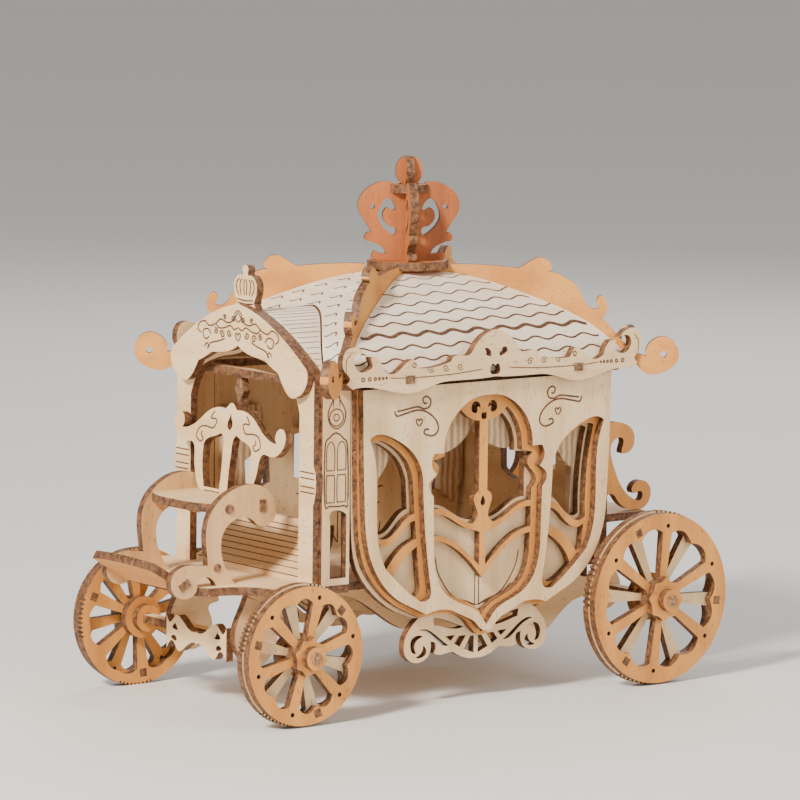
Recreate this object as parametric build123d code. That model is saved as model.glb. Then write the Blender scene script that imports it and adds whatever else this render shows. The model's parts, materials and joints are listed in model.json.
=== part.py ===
from build123d import *
import os
from math import atan2, cos, degrees, hypot, radians, sin

# Royal carriage, a flat-pack plywood model: laser-cut plates, dowels and pegs.
# The shapes are written with x = 0 at the doors, +X forward, +Y to the carriage's
# left and z = 0 on the ground. SHIFT_X moves them so that the origin is at the
# middle of the bounding box's footprint.

PLY = 2.0            # thickness of every plate
THIN = 1.2           # thickness of the sheets that are bent over the roof
GAP = 0.1            # clearance between turning and standing faces

# wheels and axles
FRONT_AXLE_X = 55.8
REAR_AXLE_X = -49.3
FRONT_RADIUS = 16.7
REAR_RADIUS = 21.2
FRONT_WHEEL_Y = 32.1     # inner face of the front wheels
REAR_WHEEL_Y = 34.2      # inner face of the rear wheels
RIM_STEP = 0.45          # the back plate stands this far outside the face plate
SPOKES = 6
PEG = 2.0            # side of the square pegs that lock a wheel's two plates together
DOWEL_R = 1.5
BORE_R = 1.56

# body
OUTER_Y = 32.4       # outer face of the side frames
TRIM_Y = OUTER_Y - PLY
PANEL_Y = TRIM_Y - PLY
CURTAIN_Y = PANEL_Y - PLY
FLOOR_TOP = 31.0
WALL_TOP = 76.8
REAR_X = -38.0       # outer face of the rear wall is one ply behind this
PORTAL_X = 48.0      # front face of the portal frame
SIGN_X = PORTAL_X + PLY
SEAT_ARM_Y = 14.25   # outer face of the seat arms
BEARING_Y = 14.25    # outer face of the front axle plates
RAIL_Y = 18.0        # outer face of the chassis rails

# driver's seat
SEAT_Z = 48.0        # underside of the seat board
SEAT_BACK_X = 54.15  # front face of the seat's back where it meets the seat
SEAT_LEAN = 7.0      # the seat's back leans this many degrees to the rear
TOE_CENTRE = (74.8, 31.9)
TOE_ANGLE = 32.0     # the toe board rises forward at this angle
TOE_REACH = 9.9      # from its pegs to its rounded front

FRONT_END = TOE_CENTRE[0] + TOE_REACH * cos(radians(TOE_ANGLE)) + PLY / 2 * sin(radians(TOE_ANGLE))
REAR_END = REAR_AXLE_X - REAR_RADIUS
SHIFT_X = -(FRONT_END + REAR_END) / 2

# roof
RIB_X = 49.8         # a hip rib's end roundel stands over this corner
RIB_Y = 36.0
RIB_ANGLE = degrees(atan2(RIB_Y, RIB_X))
RIB_SLOPE = RIB_Y / RIB_X
RIB_CLEAR = 0.15     # room between a rib and a roof sheet
CROWN_ANGLE = 60.0   # the crown's first plate, measured from +X
CROWN_Z = 103.0      # top of the crown's base ring


# ---- helpers ----

def curve(points):
    """A line through two points, or a smooth curve through more."""
    if len(points) == 2:
        return Line(*points)
    return Spline(*points)


def joined(strokes):
    """Lists of points, each starting where the one before it ended."""
    runs = []
    last = None
    for stroke in strokes:
        points = list(stroke) if last is None else [last] + list(stroke)
        last = points[-1]
        if len(points) > 1:
            runs.append(points)
    return runs


def shape(*strokes):
    """A closed face. Each stroke starts where the one before it ended."""
    runs = joined(strokes)
    edges = [curve(points) for points in runs]
    first = runs[0][0]
    last = runs[-1][-1]
    if hypot(last[0] - first[0], last[1] - first[1]) > 1e-6:
        edges.append(Line(last, first))
    return make_face(Wire(edges))


def loop(*points):
    """A closed smooth face through the points."""
    return make_face(Wire([Spline(*points, periodic=True)]))


def mirrored_shape(*strokes):
    """A closed face, symmetric about u = 0, from the strokes of its right half."""
    right = joined(strokes)
    left = [[(-u, v) for u, v in points] for points in right]
    return make_face(Wire([curve(points) for points in right + left]))


def mirrored_y(*strokes):
    """A closed face, symmetric about v = 0, from the strokes of its upper half."""
    upper = joined(strokes)
    lower = [[(u, -v) for u, v in points] for points in upper]
    return make_face(Wire([curve(points) for points in upper + lower]))


def flip(face):
    return mirror(face, about=Plane.YZ)


def disc(centre, radius):
    return make_face(Wire([Edge.make_circle(radius, Plane(origin=(*centre, 0)))]))


def box_face(centre, width, height, angle=0.0):
    c, s = cos(radians(angle)), sin(radians(angle))
    corners = [(-1, -1), (1, -1), (1, 1), (-1, 1)]
    points = [(centre[0] + a * width / 2 * c - b * height / 2 * s,
               centre[1] + a * width / 2 * s + b * height / 2 * c) for a, b in corners]
    return make_face(Wire.make_polygon(points))


def polar(radius, angle, centre=(0, 0)):
    return (centre[0] + radius * cos(radians(angle)), centre[1] + radius * sin(radians(angle)))


def across(y):
    """Plane of a plate that lies along X and Z; it is cut towards -Y from y."""
    return Plane(origin=(0, y, 0), x_dir=(1, 0, 0), z_dir=(0, -1, 0))


def facing(x):
    """Plane of a plate that faces forward; it is cut towards -X from x."""
    return Plane(origin=(x, 0, 0), x_dir=(0, -1, 0), z_dir=(-1, 0, 0))


def level(z):
    """Plane of a horizontal plate; it is cut upward from z."""
    return Plane(origin=(0, 0, z), x_dir=(1, 0, 0), z_dir=(0, 0, 1))


def radial(angle, offset=PLY / 2):
    """Plane of an upright plate through the z axis, PLY / 2 to each side."""
    c, s = cos(radians(angle)), sin(radians(angle))
    return Plane(origin=(-s * offset, c * offset, 0), x_dir=(c, s, 0), z_dir=(s, -c, 0))


def plate(plane, outline, holes=(), depth=PLY):
    """A plate of one outline with holes that lie wholly inside it."""
    rims = [hole.face().outer_wire() for hole in holes]
    flat = Face(outline.face().outer_wire(), rims)
    if flat.normal_at().Z < 0:
        flat = -flat
    return Solid.extrude(flat.moved(plane.location), plane.z_dir * depth)


def both(face):
    """A hole and its mirror image about u = 0."""
    return [face, flip(face)]


def on_side(solid, side):
    """The solid itself on the left (+1), its mirror image on the right (-1)."""
    return solid if side > 0 else mirror(solid, about=Plane.XZ)


def ring(x, y, z, outer, inner, depth):
    """A ring about an axis along Y, with its outer face at y."""
    return plate(across(y), disc((x, z), outer), [disc((x, z), inner)], depth)


def save(name, *bodies):
    shift = Location((SHIFT_X, 0, 0))
    solids = [solid.moved(shift) for body in bodies for solid in body.solids()]
    whole = solids[0] if len(solids) == 1 else Compound(children=solids)
    export_step(whole, f"parts/{name}.step")


# ---- wheels ----

def spoke_point(rho, offset, angle):
    """A point at rho along a spoke and offset to its left."""
    along = polar(rho, angle)
    return (along[0] - offset * sin(radians(angle)), along[1] + offset * cos(radians(angle)))


def wheel_window(inner, outer, foot, head, bump, start):
    """The opening between two spokes; bump brings the rim inward at its middle."""
    step = 360 / SPOKES
    middle = start + step / 2
    a = spoke_point(inner, foot / 2, start)
    b = spoke_point(outer - 1.2, head / 2, start)
    e = spoke_point(inner, -foot / 2, start + step)
    d = spoke_point(outer - 1.2, -head / 2, start + step)
    quarter = step / 4
    return shape([a, b], [polar(outer, start + quarter), polar(outer - bump, middle)],
                 [polar(outer, start + step - quarter), d], [e], [polar(inner - 0.4, middle), a])


def wheel_solids(radius, inner_y, first_peg):
    """Face plate, back plate, and the hub rings and pegs, about the y axis with a spoke along +X."""
    rim = radius * 0.155
    hub = radius * 0.16
    back_y = inner_y + PLY
    face_y = back_y + PLY
    step = 360 / SPOKES
    face_radius = radius - RIM_STEP
    peg_radius = face_radius - rim * 0.85
    pegs = [box_face(polar(peg_radius, first_peg + k * 120), PEG, PEG, first_peg + k * 120)
            for k in range(3)]
    bore = disc((0, 0), BORE_R)

    windows = [wheel_window(hub + 1.6, face_radius - rim - 0.2, 1.9, 2.9, 0.07 * radius, k * step)
               for k in range(SPOKES)]
    holes = [disc(polar(face_radius - rim * 0.92, k * step), 0.55) for k in range(SPOKES)]
    face = plate(across(face_y), disc((0, 0), face_radius), windows + holes + pegs + [bore])

    windows = [wheel_window(hub + 1.6, radius - rim * 1.05, 1.7, 3.3, 0.0, step / 2 + k * step)
               for k in range(SPOKES)]
    back = plate(across(back_y), disc((0, 0), radius), windows + pegs + [bore])
    notches = []
    for quarter in range(4):
        for k in range(9):
            angle = 9 + quarter * 90 + (k - 4) * 3.9
            notch = box_face(polar(radius, angle), 0.9, radius * 0.032, angle)
            notches.append(plate(across(back_y + 1), notch, depth=PLY + 2))
    back = back - notches

    washer = plate(across(face_y + PLY), gear(hub + 1.9), [bore])
    inner_ring = plate(across(inner_y), disc((0, 0), hub + 2.4), [bore])
    studs = [plate(across(face_y), peg, depth=2 * PLY) for peg in pegs]
    return {"face": [face], "back": [back], "hub": [washer, inner_ring] + studs}


def gear(radius, lobes=8):
    """A lobed washer."""
    points = []
    for k in range(lobes):
        points.append(polar(radius, k * 360 / lobes))
        points.append(polar(radius - 0.7, (k + 0.5) * 360 / lobes))
    return loop(*points)


def wheels():
    places = (("front", FRONT_AXLE_X, FRONT_RADIUS, FRONT_WHEEL_Y, 30.0, {1: 105.5, -1: -6.0}),
              ("rear", REAR_AXLE_X, REAR_RADIUS, REAR_WHEEL_Y, 90.0, {1: 96.3, -1: 71.0}))
    for row, x, radius, inner_y, first_peg, phases in places:
        sets = wheel_solids(radius, inner_y, first_peg)
        for side, word in ((1, "left"), (-1, "right")):
            place = Location((x, 0, radius), (0, -phases[side], 0))
            for part_name, solids in sets.items():
                placed = [on_side(solid.moved(place), side) for solid in solids]
                save(f"wheel_{row}_{word}_{part_name}", *placed)


def axles():
    """Square bars across the chassis, round dowels that the wheels turn on, and stop rings."""
    dowels = []
    rings = []
    for name, x, z, wheel_y in (("front", FRONT_AXLE_X, FRONT_RADIUS, FRONT_WHEEL_Y),
                                ("rear", REAR_AXLE_X, REAR_RADIUS, REAR_WHEEL_Y)):
        stop_y = wheel_y - PLY - GAP
        bar_half = stop_y - PLY
        bar = Box(3.0, 2 * bar_half, PLY).moved(Location((x, 0, z)))
        save(f"{name}_axle_bar", bar)
        end_y = wheel_y + 3 * PLY + GAP
        for side in (1, -1):
            dowel = plate(across(end_y + PLY + 0.3), disc((x, z), DOWEL_R),
                          depth=end_y + PLY + 0.3 - bar_half)
            dowels.append(on_side(dowel, side))
            rings.append(on_side(ring(x, stop_y, z, 3.3, DOWEL_R, PLY), side))
            rings.append(on_side(ring(x, end_y + PLY, z, 2.7, DOWEL_R, PLY), side))
    save("axle_dowels", *dowels)
    save("axle_stop_rings", *rings)


# ---- chassis ----

def chassis():
    rail = shape([(60.0, 29.0), (52.0, 26.5), (44.0, 27.0), (28.1, 25.1), (13.9, 16.7), (0.0, 15.4),
                  (-16.0, 13.2), (-29.0, 12.0), (-37.5, 18.5), (-44.0, 19.4), (-47.0, 16.5)],
                 [(-51.5, 17.0), (-53.3, 21.2), (-51.5, 25.4), (-47.0, 26.2)],
                 [(-43.0, 24.4), (-36.5, 25.5), (-30.0, 20.5), (-16.0, 18.0), (0.0, 19.8),
                  (14.0, 22.5), (24.0, 29.0)])
    rear_slot = box_face((REAR_AXLE_X, REAR_RADIUS), 3.0, PLY)
    rail_plate = plate(across(RAIL_Y), rail, [rear_slot])
    for side, word in ((1, "left"), (-1, "right")):
        save(f"chassis_rail_{word}", on_side(rail_plate, side))

    roundel = shape([(47.0, 29.0), (45.4, 25.8), (46.9, 24.6), (46.2, 22.4), (48.3, 21.8),
                     (48.8, 19.4)],
                    [(49.0, 14.2), (53.8, 11.2), (59.0, 14.0), (60.4, 19.0), (58.6, 24.0), (56.5, 29.0)])
    front_slot = box_face((FRONT_AXLE_X, FRONT_RADIUS), 3.0, PLY)
    axle_plate = plate(across(BEARING_Y), roundel, [front_slot])
    save("front_axle_plates", axle_plate, on_side(axle_plate, -1))

    beam = mirrored_shape([(0.0, 14.9), (4.0, 13.9), (7.6, 12.4), (9.0, 14.0), (12.2, 12.4)],
                          [(12.2, 20.4)], [(10.6, 18.8), (8.4, 20.6), (4.0, 18.6), (0.0, 17.9)])
    beam_holes = both(shape([(8.6, 18.9), (9.8, 17.7), (7.4, 17.2)])) + both(loop(
        (9.2, 14.6), (10.2, 15.4), (8.8, 15.8), (8.0, 15.0)))
    save("front_axle_beam", plate(facing(FRONT_AXLE_X + 3.6 + PLY), beam, beam_holes))

    rear_beam = mirrored_shape([(0.0, 22.8), (8.0, 23.2), (12.0, 24.6), (16.0, 24.0)], [(16.0, 29.0)],
                               [(11.0, 31.5), (4.0, 33.5), (0.0, 35.5)])
    heart = mirrored_shape([(0.0, 25.4), (2.4, 28.4), (3.4, 30.4), (2.0, 31.8), (0.0, 30.6)])
    save("rear_axle_beam", plate(facing(REAR_AXLE_X + 7.0), rear_beam, [heart]))


# ---- floor, seat and steps ----

def deck():
    outline = mirrored_y([(-37.9, 0.0)], [(-37.9, 26.2)], [(37.0, 26.2)], [(38.0, 28.2)], [(46.0, 28.2)],
                         [(52.0, 31.0), (57.0, 26.0), (60.0, 20.0), (63.0, 17.5), (68.0, 16.3)],
                         [(69.0, 16.3)], [(70.6, 14.0)], [(71.4, 8.0), (71.6, 0.0)])
    save("floor_deck", plate(level(FLOOR_TOP - PLY), outline))


def seat_arms():
    outline = shape([(78.6, 32.5), (77.6, 35.1), (75.2, 36.3), (71.8, 36.4), (68.2, 36.0)],
                    [(68.7, 40.6), (68.7, 44.6), (67.2, 48.6), (63.8, 51.9), (59.6, 53.8), (55.4, 54.1),
                     (51.2, 52.5), (48.9, 48.3)],
                    [(49.8, 45.1), (52.3, 44.0), (54.7, 44.9)],
                    [(57.6, 46.5), (60.4, 46.2), (63.0, 44.6), (64.4, 41.8), (64.3, 38.0), (63.2, 34.8),
                     (60.3, FLOOR_TOP)], [(65.8, FLOOR_TOP)],
                    [(66.9, 32.6), (68.6, 33.4), (70.4, 33.1), (71.2, 31.8)],
                    [(71.8, 29.8), (74.8, 28.7), (77.6, 29.9), (78.6, 32.5)])
    arm = plate(across(SEAT_ARM_Y), outline)
    for side, word in ((1, "left"), (-1, "right")):
        save(f"seat_arm_{word}", on_side(arm, side))


def seat():
    inside = SEAT_ARM_Y - PLY
    top = SEAT_Z + PLY
    board = mirrored_y([(51.0, 0.0), (51.0, inside)], [(65.8, inside)], [(67.6, 7.5), (68.2, 0.0)])
    slot_x = SEAT_BACK_X - PLY / 2 + 0.1
    slots = [box_face((slot_x, v), PLY + 0.5, width) for v, width in ((-8.6, 2.2), (0.0, 3.2), (8.6, 2.2))]
    save("seat_board", plate(level(SEAT_Z), board, slots))

    rest = top + 0.3     # clear of the board although the plate leans
    back = mirrored_shape(
        [(0.0, SEAT_Z)], [(1.5, SEAT_Z)], [(1.5, rest)], [(7.6, rest)], [(7.6, SEAT_Z)],
        [(9.6, SEAT_Z)], [(9.6, rest)],
        [(10.8, 51.6), (12.0, 54.2), (12.7, 56.6), (13.0, 58.8), (13.6, 60.4), (15.0, 61.1)],
        [(16.8, 60.8), (18.9, 60.9), (20.9, 62.1), (22.2, 63.9), (22.4, 65.7), (21.6, 67.2), (20.2, 67.6),
         (18.8, 66.8), (18.4, 65.4), (19.2, 64.0)],
        [(17.4, 64.1), (14.6, 65.1), (11.9, 66.8), (9.4, 68.7), (6.8, 69.8), (4.4, 70.2), (2.6, 70.1)],
        [(1.5, 70.7), (0.6, 71.5), (0.0, 71.6)])
    gap = shape([(1.6, 51.0), (7.9, 51.0)],
                [(8.4, 52.4), (9.1, 54.8), (9.5, 57.2), (9.7, 60.0)], [(9.3, 61.6), (6.6, 63.0), (3.4, 64.2)],
                [(2.3, 63.6), (1.7, 60.4), (1.5, 56.0), (1.6, 51.0)])
    drop = mirrored_shape([(0.0, 65.1), (1.05, 66.4), (0.5, 67.8)], [(0.0, 69.3)])
    s, c = sin(radians(SEAT_LEAN)), cos(radians(SEAT_LEAN))
    lean = Plane(origin=(SEAT_BACK_X + top * s, 0, top - top * c), x_dir=(0, -1, 0), z_dir=(-c, 0, -s))
    save("seat_back", plate(lean, back, both(gap) + [drop]))


def toe_board():
    """A sloping board with a rounded front between the arms' front roundels."""
    inside = SEAT_ARM_Y - PLY
    c, s = cos(radians(TOE_ANGLE)), sin(radians(TOE_ANGLE))
    low = PLY / 2
    slope = Plane(origin=(TOE_CENTRE[0] + s * low, 0, TOE_CENTRE[1] - c * low), x_dir=(c, 0, s),
                  z_dir=(-s, 0, c))
    outline = mirrored_y([(-2.4, 0.0), (-2.4, inside)], [(8.6, inside)],
                         [(9.6, 6.0), (TOE_REACH, 0.0)])
    save("toe_board", plate(slope, outline))


def riser():
    """A kerf-bent sheet that curves from the floor up to the cabin."""
    outline = shape([(46.0, FLOOR_TOP), (44.6, FLOOR_TOP)], [(41.6, 33.4), (38.6, 38.4), (37.6, 44.0)],
                    [(39.0, 44.0)], [(40.0, 38.8), (42.6, 34.6), (46.0, 32.4)])
    bend = plate(across(22.0), outline, depth=44.0)
    save("vestibule_riser", bend)


# ---- body sides ----

def side_window(inset=0.0):
    d = inset
    return shape([(35.3 - d, 65.2 - d), (33.1 - d, 66.2 - d), (29.0, 65.3 - d), (21.6 + d, 60.0 - d),
                  (19.5 + d, 54.0)],
                 [(18.8 + d, 43.0), (16.9 + d, 29.0)], [(17.3 + d, 26.2 + d), (20.0 + d, 25.8 + d)],
                 [(26.2, 30.5 + d), (30.3 - d, 34.4 + d)],
                 [(32.5 - d, 40.6), (33.0 - d, 52.0), (35.3 - d, 65.2 - d)])


def frame_outline():
    """The side frame: flat top, curved down to a point under the door."""
    return mirrored_shape([(0.0, 17.1), (1.6, 17.6), (3.4, 19.4), (5.7, 20.7), (8.2, 21.8), (11.2, 23.0),
                           (14.2, 23.3), (18.1, 22.5)],
                          [(22.9, 24.8), (27.0, 27.0), (30.7, 30.3), (34.1, 35.6), (35.9, 41.6),
                           (36.6, 50.0), (37.0, 60.0), (37.4, WALL_TOP)], [(0.0, WALL_TOP)])


def trim_outline():
    return mirrored_shape([(0.0, 15.8), (1.4, 16.2), (4.7, 19.5), (7.6, 21.2), (11.6, 22.1), (15.0, 21.9),
                           (18.4, 21.5)],
                          [(22.9, 23.5), (27.6, 26.2), (31.6, 29.9), (35.0, 34.9), (36.6, 40.8),
                           (37.2, 49.0), (37.5, 60.0), (37.8, WALL_TOP)], [(0.0, WALL_TOP)])


def panel_outline():
    """The panel runs down into two spirals and the fan between them."""
    return mirrored_shape(
        [(0.0, 10.0), (2.4, 10.1), (4.6, 10.8), (6.8, 12.0)], [(8.8, 11.9), (11.0, 11.7), (12.6, 12.3)],
        [(12.1, 13.4), (12.4, 14.8)], [(13.7, 15.2)],
        [(13.6, 13.4), (14.2, 11.8), (15.7, 10.7), (17.6, 10.3), (19.7, 10.9), (21.2, 12.4), (21.6, 14.4),
         (21.2, 16.6), (20.3, 18.1), (18.9, 19.7), (17.2, 21.2)],
        [(18.9, 21.2)],
        [(21.9, 22.2), (25.6, 23.9), (30.2, 27.2), (34.0, 31.3), (36.3, 35.6), (37.4, 42.0), (37.7, 50.0),
         (37.8, 60.0), (37.9, WALL_TOP)], [(0.0, WALL_TOP)])


def scroll_cuts():
    """Openings of one half of the scrollwork under the body."""
    slit = shape([(12.9, 20.7), (10.2, 20.2), (6.7, 18.9), (3.8, 17.8)],
                 [(5.4, 17.5), (9.4, 18.1), (12.6, 18.9)], [(12.9, 20.7)])
    arm = shape([(17.3, 18.1), (15.6, 18.3), (13.9, 17.7), (12.2, 16.6), (10.1, 15.0), (8.2, 13.7)],
                [(10.1, 13.9), (11.9, 15.2), (13.5, 16.5), (15.2, 17.5), (17.3, 18.1)])
    eye = shape([(15.9, 16.5), (17.3, 16.9), (18.8, 16.6), (19.6, 15.4), (19.6, 14.0), (19.1, 12.9),
                 (17.8, 12.6)],
                [(18.4, 14.1), (18.0, 15.4), (17.0, 16.1), (15.9, 16.5)])
    tail = shape([(15.9, 14.3), (15.1, 13.7), (14.9, 12.5), (16.2, 11.5), (18.1, 11.8)],
                 [(16.9, 12.2), (16.2, 12.9), (15.9, 14.3)])
    fan = [shape([(6.3, 16.0), (9.4, 16.0)], [(7.6, 14.7)], [(6.3, 16.0)]),
           shape([(3.0, 15.7), (5.3, 15.7)], [(6.6, 14.0)], [(4.9, 13.0)], [(3.0, 15.7)]),
           shape([(0.6, 15.4), (1.7, 15.4)], [(3.6, 12.4)], [(0.6, 11.2)], [(0.6, 15.4)])]
    cuts = []
    for face in [slit, arm, eye, tail] + fan:
        cuts += both(face)
    return cuts


def door_opening():
    return mirrored_shape([(0.0, 18.6), (1.2, 20.1), (2.4, 21.6), (4.6, 23.0), (9.0, 24.8), (13.0, 27.6),
                           (15.2, 31.8), (16.1, 38.0)],
                          [(16.4, 50.5)], [(17.8, 52.9), (15.5, 55.5)], [(17.0, 58.7), (16.2, 60.5)],
                          [(13.3, 60.5)], [(12.2, 66.1), (7.0, 71.8), (0.0, 73.5)])


def upper_band(x):
    """Height of the trim's upper swag at x, lowest beside the middle stem."""
    return 42.0 + 4.3 * (0.5 - 0.5 * cos(radians(min(180.0, max(0.0, (x - 2.6) / 11.0 * 180.0)))))


def lower_band(x):
    """Height of the trim's lower chevron at x."""
    return 30.8 + 9.2 * sin(radians(min(90.0, x / 14.6 * 90.0)))


def trim_panes():
    """Openings of the trim layer: door panes above and below the swags, and window panes."""
    xs = (3.2, 6.0, 9.0, 12.0, 14.6)
    upper_top = [(x, upper_band(x) + 0.7) for x in xs]
    upper_low = [(x, upper_band(x) - 0.7) for x in reversed(xs)]
    lower_top = [(x, lower_band(x) + 0.7) for x in xs]
    lower_low = [(x, lower_band(x) - 0.7) for x in reversed(xs)]
    glass = shape(upper_top, [(14.7, 50.0)], [(15.9, 52.8), (13.6, 55.6), (15.0, 58.6)], [(11.7, 59.4)],
                  [(10.6, 65.4), (6.9, 70.2)], [(5.4, 68.7), (3.4, 67.6), (1.25, 67.2)],
                  [(1.25, 50.4)],
                  [(2.7, 48.4), (1.7, 45.6), (3.2, upper_top[0][1])])
    chevron = shape(lower_top, [(14.6, upper_low[0][1])], upper_low[1:], [(0.9, 40.6)],
                    [(0.9, 32.6)], [lower_top[0]])
    leaf = mirrored_shape([(0.0, 20.6), (1.8, 22.6), (5.0, 24.3), (9.4, 26.2), (12.4, 28.9), (13.9, 32.6),
                           (14.4, lower_low[0][1])],
                 lower_low[1:], [(0.0, 29.6)])
    return glass, chevron, leaf


def trim_windows():
    glass = shape([(33.6, 64.0), (31.6, 64.5), (28.6, 63.6), (23.0, 59.2), (21.0, 54.0)],
                  [(20.4, 46.4)], [(23.0, 45.4), (26.0, 42.6), (29.4, 41.0), (31.4, 41.8)],
                  [(31.6, 52.0), (33.6, 64.0)])
    middle = shape([(20.2, 44.8), (22.6, 43.8), (25.0, 41.4), (28.6, 39.4), (31.0, 40.2)],
                   [(30.2, 34.2)], [(28.8, 33.6)], [(27.4, 35.4), (24.0, 38.6), (19.8, 40.4)])
    low = shape([(18.6, 28.6), (19.6, 38.6)], [(22.9, 36.4), (26.0, 32.8), (27.0, 30.4)],
                [(24.4, 28.6), (19.6, 27.0), (18.6, 28.6)])
    return glass, middle, low


def comma():
    return shape([(1.2, 70.2), (1.7, 71.6), (3.0, 71.8), (3.9, 70.4), (3.2, 69.2)],
                 [(2.2, 69.2), (2.0, 70.0)], [(1.9, 70.6), (1.2, 70.2)])


def heart(z, half, height):
    return mirrored_shape([(0.0, z - height * 0.55), (half, z + height * 0.1),
                           (half * 0.55, z + height * 0.5), (0.0, z + height * 0.28)])


def body_sides():
    outer = plate(across(OUTER_Y), frame_outline(), both(side_window()) + [door_opening()])

    glass, chevron, leaf = trim_panes()
    holes = []
    for pane in (glass, chevron, *trim_windows(), comma()):
        holes += both(pane)
    holes.append(leaf)
    holes.append(heart(68.4, 0.8, 1.6))
    holes.append(mirrored_shape([(0.0, 46.8), (0.7, 47.4), (0.6, 48.2), (0.0, 49.4)]))
    holes.append(disc((0.0, 17.2), 0.55))
    trim = plate(across(TRIM_Y), trim_outline(), holes)

    panel_top = [(x, upper_band(x) + 1.5) for x in (3.2, 6.0, 9.0, 12.0, 14.0)]
    door_glass = mirrored_shape([(0.0, 44.2), (1.8, 43.4), panel_top[0]], panel_top[1:], [(14.0, 58.6)],
                                [(10.9, 59.0)], [(9.8, 64.8), (5.6, 69.6), (0.0, 71.6)])
    side_glass = shape([(32.8, 63.2), (31.4, 63.7), (28.6, 62.8), (23.6, 58.6), (21.6, 54.0)],
                       [(21.2, 47.4)], [(23.4, 46.4), (26.4, 43.4), (29.4, 41.9), (30.8, 42.6)],
                       [(31.0, 52.0), (32.8, 63.2)])
    panel = plate(across(PANEL_Y), panel_outline(), [door_glass] + both(side_glass) + scroll_cuts())

    drape = shape([(36.6, 67.0), (25.6, 67.0)], [(25.9, 58.0), (28.7, 54.4)],
                  [(30.2, 53.4)], [(29.6, 42.0)], [(34.0, 38.5)], [(36.6, 44.0)])
    swag = mirrored_shape([(0.0, 66.6)], [(3.4, 62.0), (8.6, 59.6), (14.4, 60.6)], [(15.8, 74.0)],
                          [(0.0, 76.0)])
    curtains = [plate(across(CURTAIN_Y), drape), plate(across(CURTAIN_Y), flip(drape)),
                plate(across(CURTAIN_Y), swag)]

    for side, word in ((1, "left"), (-1, "right")):
        save(f"side_frame_{word}", on_side(outer, side))
        save(f"side_trim_{word}", on_side(trim, side))
        save(f"side_panel_{word}", on_side(panel, side))
        save(f"curtains_{word}", *[on_side(solid, side) for solid in curtains])


def vestibule():
    """The narrow side panels between the cabin and the portal."""
    outline = shape([(38.0, FLOOR_TOP), (46.0, FLOOR_TOP)], [(46.0, WALL_TOP)], [(38.0, WALL_TOP)])
    opening = shape([(38.9, 32.6), (43.6, 32.6)], [(43.6, 46.0)], [(43.2, 48.4), (41.2, 48.6), (38.9, 47.4)])
    panel = plate(across(PANEL_Y), outline, [opening])
    save("vestibule_panels", panel, on_side(panel, -1))


def rear_wall():
    outline = mirrored_shape([(0.0, FLOOR_TOP - PLY)], [(PANEL_Y, FLOOR_TOP - PLY)], [(PANEL_Y, WALL_TOP)],
                             [(0.0, WALL_TOP)])
    window = mirrored_shape([(0.0, 47.0), (6.0, 46.4), (10.6, 48.6)], [(11.0, 62.0)],
                            [(8.6, 68.6), (4.0, 71.6), (0.0, 72.4)])
    save("rear_wall", plate(facing(REAR_X), outline, [window]))


# ---- front ----

SIGN_ARCH = [(27.3, 81.8), (20.2, 86.8), (11.6, 91.4), (0.0, 94.8)]


def sign():
    outline = mirrored_shape([(0.0, 85.0), (3.6, 83.4), (7.3, 82.8), (10.7, 82.5)],
                             [(13.6, 81.0), (16.1, 80.0)], [(18.2, 77.0), (21.0, 74.8), (23.7, 75.2)],
                             [(25.6, 76.2), (26.8, 77.6)], [(27.6, 79.4), (27.3, 81.8)], SIGN_ARCH[1:])
    save("sign_plate", plate(facing(SIGN_X), outline))


def portal_frame():
    """Posts, arch and crown finial in one plate behind the sign."""
    outline = mirrored_shape(
        [(0.0, 84.0), (3.4, 82.6), (8.0, 81.8), (13.0, 80.4), (17.0, 78.6), (20.6, 74.4), (22.0, 71.0)],
        [(22.0, FLOOR_TOP)], [(27.6, FLOOR_TOP)], [(27.6, 50.0)], [(28.5, 53.0), (28.4, 57.8)],
        [(27.6, 59.6)], [(27.6, 79.4)], [(27.2, 81.4)], [(20.0, 86.3), (11.4, 90.9), (4.6, 93.4)],
        [(3.4, 95.0)], [(4.4, 97.2), (4.6, 99.2), (3.6, 100.9), (1.2, 101.4)],
        [(1.0, 102.2), (1.2, 103.0), (0.7, 103.7), (0.0, 103.9)])
    save("portal_frame", plate(facing(PORTAL_X), outline))


VAULT_RISE = [(26.4, 80.2), (19.2, 85.4), (11.2, 90.0), (0.0, 93.2)]
ROOF_RISE = [(8.0, 100.3), (15.9, 98.5), (25.5, 94.6), (33.4, 90.6), (40.4, 85.0), (44.4, 80.2)]
SIDE_RISE = [(5.8, 100.3), (11.5, 98.5), (18.4, 94.6), (24.1, 90.6), (29.2, 85.0), (32.2, 80.2)]


def vault_face(top, depth):
    """The vault's section: a band of the given depth, or all below it when depth is None."""
    crest_first = top[::-1]
    if depth is None:
        return mirrored_shape(crest_first, [(top[0][0], 60.0)], [(0.0, 60.0)])
    low = [(u * 0.955, v - depth) for u, v in top]
    return mirrored_shape(crest_first, low[:1], low[1:])


def roof_prism(points, depth):
    """A forward-facing roof slope as a band, extruded over the roof's whole width."""
    if depth is None:
        face = shape(points, [(points[-1][0], 60.0)], [(points[0][0], 60.0)])
    else:
        low = [(u - 0.5 * depth, v - depth) for u, v in reversed(points)]
        face = shape(points, [low[0]], low[1:])
    return plate(across(40.0), face, depth=80.0)


def wedge(slope, reach=60.0):
    """The space in front of both front ribs, less room for the ribs."""
    room = (PLY / 2 + RIB_CLEAR) / sin(radians(RIB_ANGLE))
    tip = (room, 0.0)
    far = (room + reach, reach * slope)
    face = make_face(Wire.make_polygon([tip, (far[0], -far[1]), far]))
    return extrude(face.moved(Location((0, 0, 40))), amount=80, dir=(0, 0, 1))


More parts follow.
